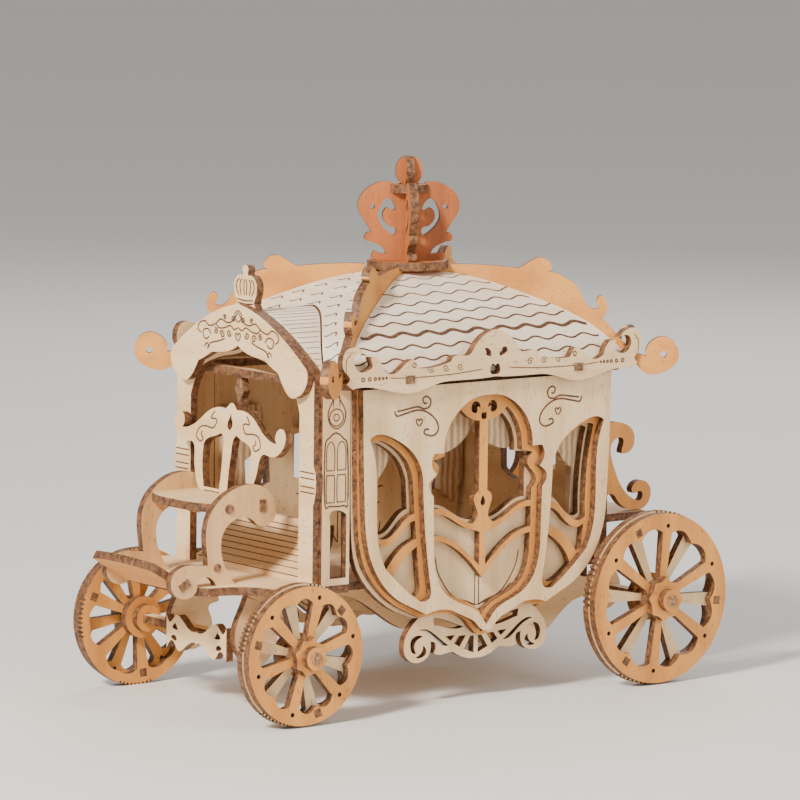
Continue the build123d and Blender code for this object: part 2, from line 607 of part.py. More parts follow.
def roof_sheets():
    slope = roof_prism(ROOF_RISE, THIN) & wedge(RIB_SLOPE)
    room_rise = [(u * 1.012, v + 0.3) for u, v in VAULT_RISE]
    vault_room = plate(facing(60.0), vault_face(room_rise, None), depth=60.0)
    save("roof_front", slope - vault_room)
    save("roof_rear", mirror(slope, about=Plane.YZ))

    band = plate(facing(PORTAL_X - PLY), vault_face(VAULT_RISE, THIN), depth=30.0)
    under = roof_prism([(u, v) for u, v in ROOF_RISE] + [(50.0, 70.0)], None)
    save("vault_sheet", band - under)

    low = [(v - 0.7 * THIN, z - THIN) for v, z in reversed(SIDE_RISE)]
    face = shape([(-v, z) for v, z in SIDE_RISE], [(-low[0][0], low[0][1])],
                 [(-v, z) for v, z in low[1:]])
    prism = plate(facing(60.0), face, depth=120.0)
    room = (PLY / 2 + RIB_CLEAR) / cos(radians(RIB_ANGLE))
    reach = 60.0
    cut = make_face(Wire.make_polygon([(0.0, room), (reach / RIB_SLOPE, room + reach),
                                       (-reach / RIB_SLOPE, room + reach)]))
    side_wedge = extrude(cut.moved(Location((0, 0, 40))), amount=80, dir=(0, 0, 1))
    side_sheet = prism & side_wedge
    for side, word in ((1, "left"), (-1, "right")):
        save(f"roof_{word}", on_side(side_sheet, side))


def rib_outline():
    return shape(
        [(4.0, 98.6), (4.0, CROWN_Z - PLY)], [(10.4, CROWN_Z - PLY)], [(10.4, 102.0)],
        [(17.8, 101.9), (26.6, 101.2)],
        [(29.0, 102.6), (31.8, 103.8), (34.0, 102.9), (34.6, 101.3), (33.7, 100.4)],
        [(35.4, 100.2), (37.7, 99.1), (40.6, 97.2), (42.2, 94.2), (44.6, 91.5)],
        [(46.2, 92.0), (45.6, 93.2), (46.6, 94.7), (47.9, 93.4), (48.2, 91.3), (46.8, 89.2)],
        [(50.5, 85.5), (54.0, 81.9), (57.8, 80.2)],
        [(58.8, 83.6), (62.2, 84.9), (65.2, 82.6), (65.4, 79.2), (62.4, 76.4), (58.6, 75.8),
         (56.4, 77.0)],
        [(53.0, 80.4), (47.0, 83.6)], [(40.9, 88.4), (31.5, 92.6), (20.0, 96.2), (4.0, 98.6)])


def rib_body(front, side):
    angle = RIB_ANGLE if front else 180 - RIB_ANGLE
    eye = disc((62.0, 80.6), 0.8)
    rib = plate(radial(angle * side), rib_outline(), [eye])
    return rib


def ribs():
    for front, word in ((True, "front"), (False, "rear")):
        save(f"hip_ribs_{word}", rib_body(front, 1), rib_body(front, -1))


def valance_outline(reach):
    """Scalloped board under the eaves; reach is its half length."""
    k = reach / 44.6
    lower = [[(0.0, 78.1), (5.4 * k, 77.8), (12.0 * k, 77.8), (16.0 * k, 77.6), (21.0 * k, 76.3),
              (26.0 * k, 75.6), (31.0 * k, 76.4), (34.8 * k, 77.3), (42.0 * k, 77.5)],
             [(43.7 * k, 78.8)], [(42.8 * k, 80.1), (44.3 * k, 81.8), (44.9 * k, 84.4), (44.0 * k, 86.5),
                                  (41.8 * k, 87.3), (39.6 * k, 86.6), (38.0 * k, 85.1)]]
    curl = [[(39.8 * k, 85.7), (41.2 * k, 85.2), (41.6 * k, 83.4), (39.8 * k, 81.4), (37.6 * k, 81.6),
             (36.2 * k, 82.7), (36.8 * k, 84.2), (35.0 * k, 84.5)]]
    top = [[(33.9 * k, 83.3), (33.2 * k, 81.4)], [(27.9 * k, 81.6), (25.8 * k, 83.1), (24.0 * k, 83.4)],
           [(22.6 * k, 81.3)], [(17.4 * k, 81.4), (13.2 * k, 82.4)], [(12.8, 83.3)],
           [(10.0, 83.6), (7.8, 83.6), (6.0, 85.7), (4.2, 87.5), (1.9, 88.8), (0.0, 89.2)]]
    return mirrored_shape(*lower, *curl, *top)


def valances():
    tear = shape([(1.4, 82.8), (1.6, 84.4), (3.0, 85.0), (3.6, 83.8)], [(2.6, 83.2), (1.4, 82.8)])
    holes = [heart(79.9, 1.5, 2.4)] + both(tear)
    board = plate(across(OUTER_Y + PLY), valance_outline(44.6), holes)
    for side, word in ((1, "left"), (-1, "right")):
        placed = on_side(board, side)
        placed = placed - rib_body(True, side) - rib_body(False, side)
        solids = sorted(placed.solids(), key=lambda solid: solid.volume)
        save(f"valance_{word}", solids[-1])
    rear = plate(facing(-44.6), valance_outline(30.4), [heart(79.9, 1.5, 2.4)])
    save("valance_rear", rear)


def ceiling_frame():
    outer = mirrored_y([(-44.4, 0.0), (-44.4, 27.0)], [(-40.6, 30.8)], [(40.6, 30.8)], [(43.0, 28.2)],
                       [(45.9, 28.2)], [(45.9, 0.0)])
    inner = mirrored_y([(-36.0, 0.0), (-36.0, 22.4)], [(43.4, 22.4)], [(43.4, 0.0)])
    save("ceiling_frame", plate(level(WALL_TOP), outer, [inner]))


# ---- crown ----

def crown():
    corner = 10.2
    octagon = make_face(Wire.make_polygon([polar(corner, 22.5 + 45 * k) for k in range(8)]))
    base = plate(level(CROWN_Z - PLY), octagon)
    collar_z = 119.2
    collar = plate(level(collar_z), disc((0, 0), 4.6), [disc((0, 0), 2.6)])
    save("crown_rings", base, collar)

    z = CROWN_Z
    vane = mirrored_shape(
        [(0.0, z), (8.0, z)], [(8.9, z + 0.9), (8.4, z + 1.9), (7.2, z + 1.6)], [(5.4, z + 1.4)],
        [(6.0, z + 2.6), (7.6, z + 3.7), (9.2, z + 4.4)], [(10.6, z + 5.6), (9.8, z + 6.6), (8.9, z + 6.0)],
        [(10.8, z + 9.5), (12.3, z + 12.8), (11.4, z + 15.8), (9.3, z + 17.7), (6.5, z + 18.8),
         (3.8, z + 18.3), (3.0, z + 17.2)],
        [(1.5, z + 17.8), (2.6, z + 19.2), (3.2, z + 21.6), (2.4, z + 24.0), (0.0, z + 25.0)])
    scroll = shape([(3.2, z + 12.2), (3.9, z + 13.8), (5.2, z + 14.8), (7.1, z + 12.4), (7.5, z + 10.2),
                    (6.2, z + 7.8), (3.7, z + 5.8)],
                   [(3.0, z + 6.9), (3.6, z + 7.9)],
                   [(5.6, z + 8.8), (6.3, z + 10.3), (6.1, z + 11.6), (5.2, z + 12.5), (4.2, z + 12.0),
                    (3.2, z + 12.2)])
    spot = disc((8.8, z + 12.8), 0.6)
    half_z = z + 11.0
    for word, angle, low in (("a", CROWN_ANGLE, True), ("b", CROWN_ANGLE + 90, False)):
        body = plate(radial(angle), vane, both(scroll) + both(spot))
        slot_z = z - 1 if low else half_z
        slot = Box(PLY, PLY, 40, align=(Align.CENTER, Align.CENTER, Align.MIN))
        if low:
            slot = Box(PLY, PLY, half_z - slot_z, align=(Align.CENTER, Align.CENTER, Align.MIN))
        body = body - slot.moved(Location((0, 0, slot_z), (0, 0, angle)))
        body = body - collar
        save(f"crown_plate_{word}", *sorted(body.solids(), key=lambda solid: -solid.volume)[:1])


# ---- rear and underside ----

def rear_shelf():
    shelf = mirrored_y([(-40.0, 0.0), (-40.0, 19.0)], [(-60.0, 19.0)], [(-61.5, 12.0), (-62.0, 0.0)])
    save("rear_shelf", plate(level(37.6), shelf))

    bracket = shape([(-40.0, 61.0), (-40.0, 39.6)], [(-48.0, 39.6)],
                    [(-47.6, 42.8), (-49.0, 44.2), (-51.2, 43.6)], [(-54.0, 40.8), (-58.4, 39.9)],
                    [(-61.8, 41.4), (-62.6, 44.4), (-60.6, 46.8), (-57.6, 46.6), (-56.4, 45.0)],
                    [(-57.2, 44.0), (-59.0, 44.4), (-60.0, 43.6)], [(-59.4, 42.2), (-57.4, 42.4)],
                    [(-53.6, 45.4), (-50.8, 50.6), (-49.8, 56.6), (-52.2, 58.2)],
                    [(-53.6, 57.0), (-53.0, 54.6), (-55.0, 54.2)],
                    [(-57.0, 56.4), (-56.6, 59.4), (-53.4, 61.6), (-49.0, 61.9), (-45.0, 60.4),
                     (-40.0, 61.0)])
    notch = shape([(-44.6, 57.4), (-47.2, 54.8), (-48.4, 50.8)], [(-47.4, 47.4), (-44.0, 45.0)],
                  [(-43.0, 51.4), (-44.6, 57.4)])
    solid = plate(across(RAIL_Y), bracket, [notch])
    save("rear_brackets", solid, on_side(solid, -1))

    rail = mirrored_shape([(0.0, 45.0), (16.0, 45.0)], [(16.0, 48.0)], [(8.0, 47.2), (0.0, 49.6)])
    save("rear_rail", plate(facing(-50.6), rail))


def joinery_pegs():
    """Peg ends that show on the seat arms and the valances."""
    arm_pegs = [disc((62.3, 48.8), 1.15), box_face((52.8, 48.9), 1.7, 2.9), disc((65.6, 35.3), 1.0),
                box_face(TOE_CENTRE, 3.0, 1.9, -TOE_ANGLE)]
    solids = []
    for side in (1, -1):
        for peg in arm_pegs:
            solids.append(on_side(plate(across(SEAT_ARM_Y + 0.3), peg, depth=0.3), side))
        for x in (25.3, -25.3):
            peg = plate(across(OUTER_Y + PLY + 0.3), box_face((x, 78.8), 2.6, 1.9), depth=0.3)
            solids.append(on_side(peg, side))
    save("joinery_pegs", *solids)


def chandelier():
    """A small lamp that hangs from the ceiling frame just behind the portal."""
    outline = mirrored_shape([(0.0, 62.0), (1.4, 63.4), (0.8, 65.0)], [(4.2, 65.6), (5.0, 68.4)],
                             [(3.8, 68.6), (2.8, 67.2), (0.8, 67.4)], [(0.8, 72.0)],
                             [(1.8, 73.6), (0.8, 75.6)], [(0.8, WALL_TOP)], [(0.0, WALL_TOP)])
    save("chandelier", plate(facing(45.2), outline).moved(Location((0, -6.0, 0))))


def main():
    os.makedirs("parts", exist_ok=True)
    wheels()
    axles()
    chassis()
    deck()
    seat_arms()
    seat()
    toe_board()
    riser()
    body_sides()
    vestibule()
    rear_wall()
    sign()
    portal_frame()
    roof_sheets()
    ribs()
    valances()
    ceiling_frame()
    crown()
    rear_shelf()
    joinery_pegs()
    chandelier()


main()
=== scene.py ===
import json
from math import cos, sin, pi, radians

import bpy
from mathutils import Matrix, Vector
from mathutils.bvhtree import BVHTree


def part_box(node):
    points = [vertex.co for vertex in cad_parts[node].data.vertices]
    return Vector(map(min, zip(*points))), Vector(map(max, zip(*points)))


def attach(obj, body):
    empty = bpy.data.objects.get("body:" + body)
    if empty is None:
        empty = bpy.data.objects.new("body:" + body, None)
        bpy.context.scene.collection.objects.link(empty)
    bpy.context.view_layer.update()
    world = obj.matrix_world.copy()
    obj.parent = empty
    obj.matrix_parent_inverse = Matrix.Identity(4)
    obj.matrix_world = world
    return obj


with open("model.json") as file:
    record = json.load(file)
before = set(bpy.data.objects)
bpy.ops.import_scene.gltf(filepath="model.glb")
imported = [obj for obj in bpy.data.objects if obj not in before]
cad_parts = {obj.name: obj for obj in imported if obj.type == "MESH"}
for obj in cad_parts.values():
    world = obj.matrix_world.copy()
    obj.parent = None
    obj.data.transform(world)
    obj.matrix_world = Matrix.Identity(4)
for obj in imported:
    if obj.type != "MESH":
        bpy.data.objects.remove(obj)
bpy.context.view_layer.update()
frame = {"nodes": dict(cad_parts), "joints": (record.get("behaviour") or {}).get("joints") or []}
nodes = frame["nodes"]

MM = 0.001

# engraved lines, lengths in mm
LIFT = 0.05          # a line's top lies this far above its plate
STEP = 0.45          # spacing of a line's points
SAMPLES = 6          # samples of the curve between two given points
TIP_WIDTH = 0.45     # a line's tip has this share of its width,
TIP_GROWTH = 0.3     # and gains this share at each point after it
SKIRT_DROP = 0.6     # a line's sides come down by this share of LIFT,
SKIRT_SPREAD = 1.1   # and spread to this share of its width
BESIDE = 60          # rays to the sides start this far out from the middle,
BEFORE = 90          # rays to the front at this x,
BEHIND = -60         # rays to the rear at this x,
OVERHEAD = 140       # and rays to the roof at this height
RAY_REACH = 0.2      # a ray's length, in metres
LARGEST_GAP = 0.004  # a line breaks where two of its points are farther apart than this, in metres
FLATTEST = 0.25      # a line stops where the plate's normal and the ray have a smaller product

# directions of the plates that aren't square to the axes, in degrees
TOE_ANGLE = 32       # slope of the toe board
SEAT_LEAN = 7        # the seat's back leans to the rear
RIB_ANGLE = 35.86    # a hip rib, from +X
CROWN_ANGLE = 60     # the crown's first plate, from +X

# limits on the product of a surface's normal and an axis
FACE_LIMIT = 0.93    # a plate's face has more than this along the plate's normal
BEND_LIMIT = 0.3     # a bent sheet's face has less than this along the axis it is bent about
SIDE_LIMIT = 0.5     # one side of a plate has more than this along the way it faces

# colours of plate faces, each as (light, deep)
CREAM = ((0.86, 0.62, 0.36), (0.72, 0.46, 0.22))
TAN = ((0.74, 0.325, 0.068), (0.58, 0.225, 0.042))
SHEET = ((0.88, 0.77, 0.62), (0.80, 0.64, 0.46))
CROWN = ((0.47, 0.145, 0.034), (0.31, 0.082, 0.020))
WARM = ((0.76, 0.49, 0.24), (0.60, 0.34, 0.14))
FLECK_SHADE = 0.72   # flecks have this share of the deep colour

# colours of the burnt edges, their bright spots, and the drapery
CHAR = ((0.055, 0.020, 0.008), (0.250, 0.105, 0.038))
GLINT = (0.42, 0.21, 0.085)
FOLDS = ((0.23, 0.105, 0.042), (0.74, 0.50, 0.28))
DUST = ((0.62, 0.40, 0.21), (0.86, 0.66, 0.42))

# how far the grain is drawn out along each axis
ALONG_X = (14, 1, 1)
ALONG_Y = (1, 14, 1)
ALONG_Z = (1, 1, 14)


def span(name):
    """A CAD node's lowest and highest corner, in mm."""
    low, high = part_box(name)
    return low / MM, high / MM


frame_low, frame_high = span("side_frame_left")
DOOR_X = (frame_low.x + frame_high.x) / 2      # the doors' middle


# ---- materials ----

def new_material(name):
    """A material, its node tree and its shader."""
    material = bpy.data.materials.new(name)
    material.use_nodes = True
    tree = material.node_tree
    shader = next(n for n in tree.nodes if n.type == "BSDF_PRINCIPLED")
    return material, tree, shader


def mix(tree, factor, a, b):
    """A colour mix; a and b are colours or sockets, factor a number or a socket."""
    node = tree.nodes.new("ShaderNodeMix")
    node.data_type = "RGBA"
    for socket, value in ((node.inputs[0], factor), (node.inputs[6], a), (node.inputs[7], b)):
        if isinstance(value, tuple):
            socket.default_value = (*value, 1)
        elif isinstance(value, float):
            socket.default_value = value
        else:
            tree.links.new(value, socket)
    return node.outputs[2]


def number_math(tree, operation, first, second=None):
    """The result of one math node; first is a socket, second a number or a socket."""
    node = tree.nodes.new("ShaderNodeMath")
    node.operation = operation
    tree.links.new(first, node.inputs[0])
    if isinstance(second, float):
        node.inputs[1].default_value = second
    elif second is not None:
        tree.links.new(second, node.inputs[1])
    return node.outputs[0]


def vector_math(tree, operation, first, second=None):
    """One vector math node; first is a socket, second a vector."""
    node = tree.nodes.new("ShaderNodeVectorMath")
    node.operation = operation
    tree.links.new(first, node.inputs[0])
    if second is not None:
        node.inputs[1].default_value = second
    return node


def noise(tree, coords, scale, stretch=(1, 1, 1), detail=4.0, low=0.35, high=0.65):
    """Noise stretched along an axis, spread between low and high."""
    mapping = tree.nodes.new("ShaderNodeMapping")
    mapping.inputs["Scale"].default_value = stretch
    tree.links.new(coords, mapping.inputs["Vector"])
    texture = tree.nodes.new("ShaderNodeTexNoise")
    texture.inputs["Scale"].default_value = scale
    texture.inputs["Detail"].default_value = detail
    tree.links.new(mapping.outputs[0], texture.inputs["Vector"])
    spread = tree.nodes.new("ShaderNodeMapRange")
    spread.inputs["From Min"].default_value = low
    spread.inputs["From Max"].default_value = high
    tree.links.new(texture.outputs[0], spread.inputs["Value"])
    return spread.outputs[0]


def along(tree, coords, axis):
    """The product of the surface's normal and the axis."""
    return vector_math(tree, "DOT_PRODUCT", coords.outputs["Normal"], axis).outputs["Value"]


def face_mask(tree, coords, axes):
    """1 where the surface faces along one of the plate's normals, 0 on the cut edges."""
    sizes = [number_math(tree, "ABSOLUTE", along(tree, coords, axis)) for axis in axes]
    largest = sizes[0]
    for size in sizes[1:]:
        largest = number_math(tree, "MAXIMUM", largest, size)
    return number_math(tree, "GREATER_THAN", largest, FACE_LIMIT)


def bent_mask(tree, coords, axis):
    """1 on a bent sheet's two faces, 0 on its ends, which face along the axis it is bent about."""
    size = number_math(tree, "ABSOLUTE", along(tree, coords, axis))
    return number_math(tree, "LESS_THAN", size, BEND_LIMIT)


def side_mask(tree, coords, axis):
    """1 where the surface faces the way of the axis, 0 elsewhere."""
    return number_math(tree, "GREATER_THAN", along(tree, coords, axis), SIDE_LIMIT)


def far_mask(tree, where, x, z, radius):
    """1 farther than radius (m) from the line along Y through (x, z)."""
    offset = vector_math(tree, "SUBTRACT", where, (x, 0, z))
    flat = vector_math(tree, "MULTIPLY", offset.outputs[0], (1, 0, 1))
    length = vector_math(tree, "LENGTH", flat.outputs[0])
    return number_math(tree, "GREATER_THAN", length.outputs["Value"], radius)


def plywood(name, axes, light, deep, grain, roughness=0.62, bent=False, reverse=None, pegs=None):
    """Plywood: streaked faces and burnt, mottled cut edges. axes holds the plate's normals or, where bent
    is set, the axis it is bent about; reverse is (axis, light, deep) of the side that faces the axis; pegs
    is (x, z, radius), beyond which everything is burnt."""
    material, tree, shader = new_material(name)
    coords = tree.nodes.new("ShaderNodeTexCoord")
    where = coords.outputs["Object"]
    long_streak = tuple(1 / g for g in grain)
    short_streak = tuple(1 / g ** 0.5 for g in grain)
    streaks = noise(tree, where, 160, long_streak, detail=6, low=0.38, high=0.66)
    flecks = noise(tree, where, 1900, short_streak, detail=2, low=0.62, high=0.74)
    face = mix(tree, streaks, light, deep)
    if reverse:
        facing, other_light, other_deep = reverse
        other = mix(tree, streaks, other_light, other_deep)
        face = mix(tree, side_mask(tree, coords, facing), face, other)
    face = mix(tree, flecks, face, tuple(c * FLECK_SHADE for c in deep))
    char = noise(tree, where, 900, detail=5, low=0.36, high=0.68)
    glints = noise(tree, where, 2600, detail=2, low=0.60, high=0.74)
    edge = mix(tree, glints, mix(tree, char, *CHAR), GLINT)
    mask = bent_mask(tree, coords, axes[0]) if bent else face_mask(tree, coords, axes)
    colour = mix(tree, mask, edge, face)
    if pegs:
        colour = mix(tree, far_mask(tree, where, *pegs), colour, edge)
    tree.links.new(colour, shader.inputs["Base Color"])
    shader.inputs["Roughness"].default_value = roughness
    bump = tree.nodes.new("ShaderNodeBump")
    bump.inputs["Strength"].default_value = 0.25
    bump.inputs["Distance"].default_value = 0.00008
    tree.links.new(streaks, bump.inputs["Height"])
    tree.links.new(bump.outputs[0], shader.inputs["Normal"])
    return material


def plain(name, dark, light, scale, stretch=(1, 1, 1), roughness=0.7):
    """A mottled finish of two colours."""
    material, tree, shader = new_material(name)
    coords = tree.nodes.new("ShaderNodeTexCoord")
    spots = noise(tree, coords.outputs["Object"], scale, stretch, detail=5, low=0.36, high=0.66)
    tree.links.new(mix(tree, spots, dark, light), shader.inputs["Base Color"])
    shader.inputs["Roughness"].default_value = roughness
    return material


def striped(name):
    """Drapery: upright folds engraved as brown stripes on cream."""
    material, tree, shader = new_material(name)
    coords = tree.nodes.new("ShaderNodeTexCoord")
    wave = tree.nodes.new("ShaderNodeTexWave")
    wave.bands_direction = "X"
    wave.inputs["Scale"].default_value = 170
    wave.inputs["Distortion"].default_value = 2.6
    wave.inputs["Detail"].default_value = 3
    wave.inputs["Detail Scale"].default_value = 1.6
    tree.links.new(coords.outputs["Object"], wave.inputs["Vector"])
    grain = noise(tree, coords.outputs["Object"], 700, (1, 1, 0.2))
    folds = mix(tree, wave.outputs[1], *FOLDS)
    dust = mix(tree, grain, *DUST)
    tree.links.new(mix(tree, 0.35, folds, dust), shader.inputs["Base Color"])
    shader.inputs["Roughness"].default_value = 0.7
    return material


def turned(angle):
    """Normal of an upright plate whose length points at the angle from +X."""
    return (-sin(radians(angle)), cos(radians(angle)), 0)


side_birch = plywood("side_birch", [(0, 1, 0)], *CREAM, ALONG_Z)
side_tan = plywood("side_tan", [(0, 1, 0)], *TAN, ALONG_Z)
front_birch = plywood("front_birch", [(1, 0, 0)], *CREAM, ALONG_Y)
level_birch = plywood("level_birch", [(0, 0, 1)], *CREAM, ALONG_X)
rail_birch = plywood("rail_birch", [(0, 1, 0)], *CREAM, ALONG_X)
rib_tan = plywood("rib_tan", [turned(RIB_ANGLE), turned(-RIB_ANGLE)], *TAN, ALONG_X)
toe_up = (-sin(radians(TOE_ANGLE)), 0, cos(radians(TOE_ANGLE)))
# painted shade: the toe board's underside faces down, away from the light, and gets the deeper tan as shade;
# its upper side keeps the plywood's cream
toe_painted_shade_under = plywood("toe_painted_shade_under", [toe_up], *TAN, ALONG_Y, reverse=(toe_up, *CREAM))
arm_birch = plywood("arm_birch", [(0, 1, 0)], *WARM, ALONG_Z)
back_normal = (cos(radians(SEAT_LEAN)), 0, sin(radians(SEAT_LEAN)))
back_birch = plywood("back_birch", [back_normal], *CREAM, ALONG_Y)
crown_a = plywood("crown_a_tan", [turned(CROWN_ANGLE)], *CROWN, ALONG_Z)
crown_b = plywood("crown_b_tan", [turned(CROWN_ANGLE + 90)], *CROWN, ALONG_Z)
crown_ring = plywood("crown_ring_tan", [(0, 0, 1)], *CROWN, ALONG_X)
sheet_paint = plywood("bent_sheet", [(0, 1, 0)], *SHEET, ALONG_Y, roughness=0.55, bent=True)
sheet_side = plywood("bent_sheet_side", [(1, 0, 0)], *SHEET, ALONG_X, roughness=0.55, bent=True)
riser_paint = plywood("bent_riser", [(0, 1, 0)], *CREAM, ALONG_Y, roughness=0.6, bent=True)
burnt = plain("burnt_line", (0.055, 0.022, 0.010), (0.17, 0.075, 0.032), scale=1500)
burnt_soft = plain("burnt_peg", (0.10, 0.045, 0.02), (0.34, 0.18, 0.085), scale=1200)
dowel_paint = plain("dowel_wood", (0.16, 0.07, 0.03), (0.50, 0.27, 0.12), scale=1300,
                    stretch=(1, 0.2, 1), roughness=0.5)
drapery = striped("drapery")

# finishes by the start of a node's name; the longest start that fits is taken
FINISHES = {
    "side_frame": side_birch, "side_trim": side_tan, "side_panel": side_birch, "curtains": drapery,
    "vestibule_panels": side_birch, "vestibule_riser": riser_paint, "rear_wall": front_birch,
    "portal_frame": front_birch, "sign_plate": front_birch, "seat_back": back_birch,
    "seat_board": level_birch, "floor_deck": level_birch, "ceiling_frame": level_birch,
    "rear_shelf": level_birch, "rear_rail": front_birch, "seat_arm": arm_birch, "toe_board": toe_painted_shade_under,
    "valance_rear": front_birch, "valance": rail_birch, "hip_ribs": rib_tan, "chassis_rail": rail_birch,
    "front_axle_plates": rail_birch, "front_axle_beam": front_birch, "rear_axle_beam": front_birch,
    "front_axle_bar": level_birch, "rear_axle_bar": level_birch, "rear_brackets": side_tan,
    "roof_front": sheet_paint, "roof_rear": sheet_paint, "roof_left": sheet_side,
    "roof_right": sheet_side, "vault_sheet": sheet_side, "crown_plate_a": crown_a,
    "crown_plate_b": crown_b, "crown_rings": crown_ring, "chandelier": burnt_soft,
    "joinery_pegs": burnt_soft, "axle_dowels": dowel_paint, "axle_stop_rings": side_tan,
}

# in a hub's node, only the pegs are farther out than this share of the wheel's radius and this margin (m)
HUB_SHARE = 0.30
HUB_MARGIN = 0.002

WHEEL_PAINTS = {}
for joint in frame["joints"]:
    wheel = joint["child"]
    inward = (0, -1, 0) if joint["pos_m"][1] > 0 else (0, 1, 0)
    x, z = joint["pos_m"][0], joint["pos_m"][2]
    past_hub = HUB_SHARE * z + HUB_MARGIN
    WHEEL_PAINTS[f"{wheel}_face"] = side_tan
    WHEEL_PAINTS[f"{wheel}_back"] = plywood(f"{wheel}_back_paint", [(0, 1, 0)], *CREAM, ALONG_Z,
                                            reverse=(inward, *TAN))
    WHEEL_PAINTS[f"{wheel}_hub"] = plywood(f"{wheel}_hub_paint", [(0, 1, 0)], *TAN, ALONG_X,
                                           pegs=(x, z, past_hub))


def finish_of(name):
    """The material of a CAD node."""
    if name in WHEEL_PAINTS:
        return WHEEL_PAINTS[name]
    known = [key for key in FINISHES if name.startswith(key)]
    return FINISHES[max(known, key=len)]


for name, thing in nodes.items():
    paint = finish_of(name)
    if not thing.material_slots:
        thing.data.materials.append(paint)
    for holder in thing.material_slots:
        holder.material = paint


# ---- engraved lines, laid on a plate wherever a ray meets it ----

trees = {}


def tree_of(name):
    """A CAD node's surface, to cast rays at."""
    if name not in trees:
        mesh = nodes[name].data
        corners = [v.co.copy() for v in mesh.vertices]
        trees[name] = BVHTree.FromPolygons(corners, [tuple(p.vertices) for p in mesh.polygons])
    return trees[name]


def catmull(points, closed=False):
    """A smooth line through the points, sampled closely."""
    if len(points) < 3:
        dense = list(points)
    else:
        dense = []
        count = len(points)
        last = count if closed else count - 1
        for i in range(last):
            p = [Vector(points[(i + k) % count] if closed else points[min(max(i + k, 0), count - 1)])
                 for k in (-1, 0, 1, 2)]
            for j in range(SAMPLES):
                t = j / SAMPLES
                dense.append(tuple(0.5 * (2 * p[1] + (p[2] - p[0]) * t
                                          + (2 * p[0] - 5 * p[1] + 4 * p[2] - p[3]) * t * t
                                          + (3 * p[1] - p[0] - 3 * p[2] + p[3]) * t ** 3)))
        dense.append(tuple(points[0] if closed else points[-1]))
    line = [Vector(dense[0])]
    for a, b in zip(dense, dense[1:]):
        a, b = Vector(a), Vector(b)
        pieces = max(1, round((b - a).length / STEP))
        line += [a.lerp(b, (k + 1) / pieces) for k in range(pieces)]
    return line


class Lines:
    """Burnt ribbons that are joined into one piece of the carriage; points and widths are in mm."""

    def __init__(self, title):
        self.title = title
        self.points = []
        self.faces = []

    def ribbon(self, run, width):
        """run is (place, normal) pairs in metres; the ends taper."""
        if len(run) < 2:
            return
        start = len(self.points)
        for i, (place, normal) in enumerate(run):
            ahead = run[min(i + 1, len(run) - 1)][0] - run[max(i - 1, 0)][0]
            across = normal.cross(ahead)
            if across.length < 1e-9:
                across = normal.orthogonal()
            taper = min(1.0, TIP_WIDTH + TIP_GROWTH * min(i, len(run) - 1 - i))
            across = across.normalized() * width / 2 * MM * taper
            top = place + normal * LIFT * MM
            foot = normal * -SKIRT_DROP * LIFT * MM
            self.points += [top + across, top - across, top + across * SKIRT_SPREAD + foot,
                            top - across * SKIRT_SPREAD + foot]
        for i in range(len(run) - 1):
            a = start + 4 * i
            b = a + 4
            self.faces += [(a, a + 1, b + 1, b), (a + 2, a, b, b + 2), (a + 1, a + 3, b + 3, b + 1)]

    def lay(self, name, line, source, way, width):
        """line holds points in mm; a ray from each, in direction way, finds the plate."""
        run = []
        for point in line:
            start = source(point) * MM
            place, normal, _, _ = tree_of(name).ray_cast(start, way, RAY_REACH)
            good = place is not None and normal.dot(way) < -FLATTEST
            if good and run and (place - run[-1][0]).length > LARGEST_GAP:
                self.ribbon(run, width)
                run = []
            if good:
                run.append((place, normal))
            else:
                self.ribbon(run, width)
                run = []
        self.ribbon(run, width)

    def side(self, name, points, side, width=0.34, closed=False):
        """Points (x, z) on a plate that faces sideways."""
        self.lay(name, catmull(points, closed), lambda p: Vector((p[0] + DOOR_X, BESIDE * side, p[1])),
                 Vector((0, -side, 0)), width)

    def inside(self, name, points, side, width=0.34):
        """Points (x, z) on a side plate's inner face."""
        self.lay(name, catmull(points), lambda p: Vector((p[0] + DOOR_X, 0, p[1])),
                 Vector((0, side, 0)), width)

    def front(self, name, points, width=0.34, closed=False):
        """Points (y, z) on a plate's front."""
        self.lay(name, catmull(points, closed), lambda p: Vector((BEFORE, p[0], p[1])),
                 Vector((-1, 0, 0)), width)

    def rear(self, name, points, width):
        """Points (y, z) on a plate's rear."""
        self.lay(name, catmull(points), lambda p: Vector((BEHIND, p[0], p[1])), Vector((1, 0, 0)), width)

    def above(self, name, points, width):
        """Points (x, y) on a surface seen from above."""
        self.lay(name, catmull(points), lambda p: Vector((p[0], p[1], OVERHEAD)), Vector((0, 0, -1)), width)

    def make(self):
        """Makes the piece from every ribbon so far."""
        mesh = bpy.data.meshes.new(self.title)
        mesh.from_pydata([tuple(p) for p in self.points], [], self.faces)
        mesh.update()
        mesh.materials.append(burnt)
        thing = bpy.data.objects.new(self.title, mesh)
        bpy.context.scene.collection.objects.link(thing)
        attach(thing, "carriage")


CIRCLE_CORNERS = 14
SWIRL_STEPS = 14
SWIRL_TURN = 34      # degrees from one point to the next
SWIRL_CLOSE = 0.82   # share of the radius that is lost on the way in


def circle(x, z, radius):
    """The corners of a small circle."""
    angles = [2 * pi * k / CIRCLE_CORNERS for k in range(CIRCLE_CORNERS)]
    return [(x + radius * cos(angle), z + radius * sin(angle)) for angle in angles]


def flipped(points):
    """The points mirrored left to right."""
    return [(-u, v) for u, v in points]


def heart(x, z, size):
    """A small heart outline, point downward."""
    half = [(0.9, 0), (0.9, 0.6), (0.45, 0.85)]
    unit = [(0, -1)] + half + [(0, 0.4)] + flipped(half)[::-1]
    return [(x + size * u, z + size * v) for u, v in unit]


def swirl(x, z, size, turn, spin=1):
    """A scroll that winds in to (x, z)."""
    points = []
    for k in range(SWIRL_STEPS + 1):
        radius = size * (1 - SWIRL_CLOSE * k / SWIRL_STEPS)
        angle = radians(turn + spin * k * SWIRL_TURN)
        points.append((x + radius * cos(angle), z + radius * sin(angle)))
    return points


